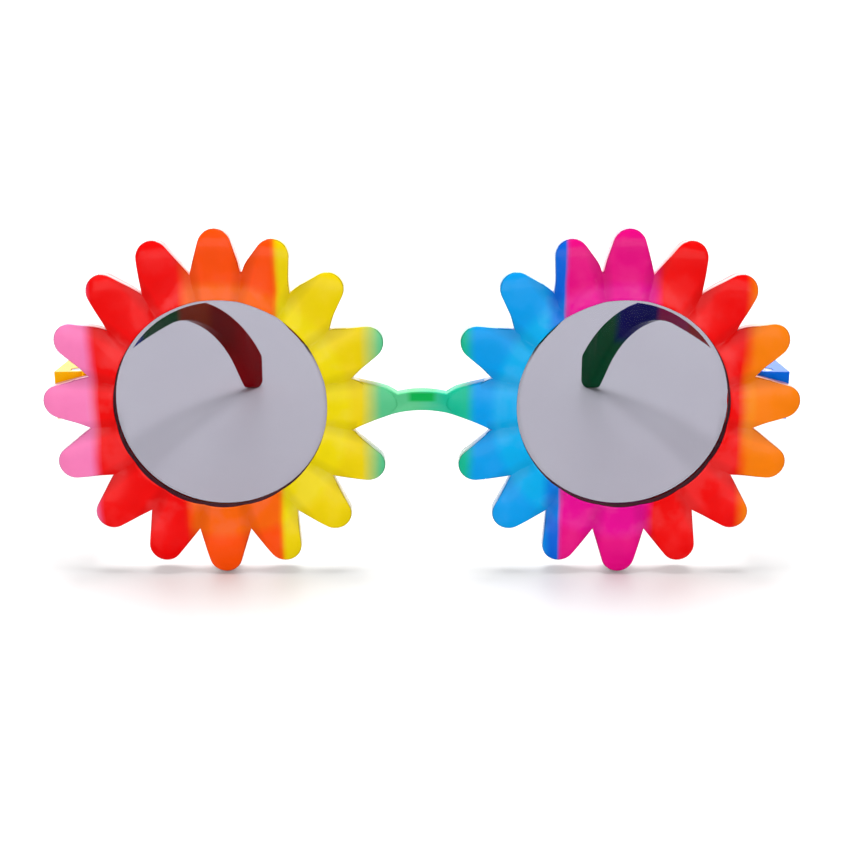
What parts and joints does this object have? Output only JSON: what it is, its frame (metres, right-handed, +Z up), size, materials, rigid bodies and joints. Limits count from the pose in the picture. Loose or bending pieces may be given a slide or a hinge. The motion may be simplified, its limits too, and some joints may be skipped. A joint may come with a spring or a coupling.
{
  "type": "party glasses",
  "caption": "Novelty sunglasses with two daisy-shaped petal rims in rainbow-banded gloss lacquer, round grey lenses, a slim arched bridge and folding hooked temples",
  "frame": {"origin": "centre of the footprint of the glasses as they stand open on their lowest petals and temple tips, on the ground", "axes": "X runs across the face with +X towards the wearer's left, -Y is the front that the wearer shows, +Y runs back along the temples, +Z is up"},
  "size_m": [0.154, 0.122, 0.0721],
  "materials": {
    "front_lacquer": "glossy metallic-look lacquer in upright rainbow bands over moulded polycarbonate",
    "temple_lacquer": "the same glossy lacquer, banded along the arm",
    "lens": "neutral grey tinted polycarbonate sheet, polished",
    "screw_steel": "bright zinc-plated steel"
  },
  "bodies": {
    "front": {"front_frame": "front_lacquer", "left_lens": "lens", "right_lens": "lens"},
    "left_arm": {"left_temple": "temple_lacquer", "left_hinge_screw": "screw_steel"},
    "right_arm": {"right_temple": "temple_lacquer", "right_hinge_screw": "screw_steel"}
  },
  "joints": [
    {"name": "left_temple_fold", "type": "hinge", "parent": "front", "child": "left_arm", "pos_m": [0.0714, -0.05029, 0.0366], "axis": [0, 0.0928, 0.9957], "range_deg": [0, 76]},
    {"name": "right_temple_fold", "type": "hinge", "parent": "front", "child": "right_arm", "pos_m": [-0.0714, -0.05029, 0.0366], "axis": [0, -0.0928, -0.9957], "range_deg": [0, 70]}
  ]
}
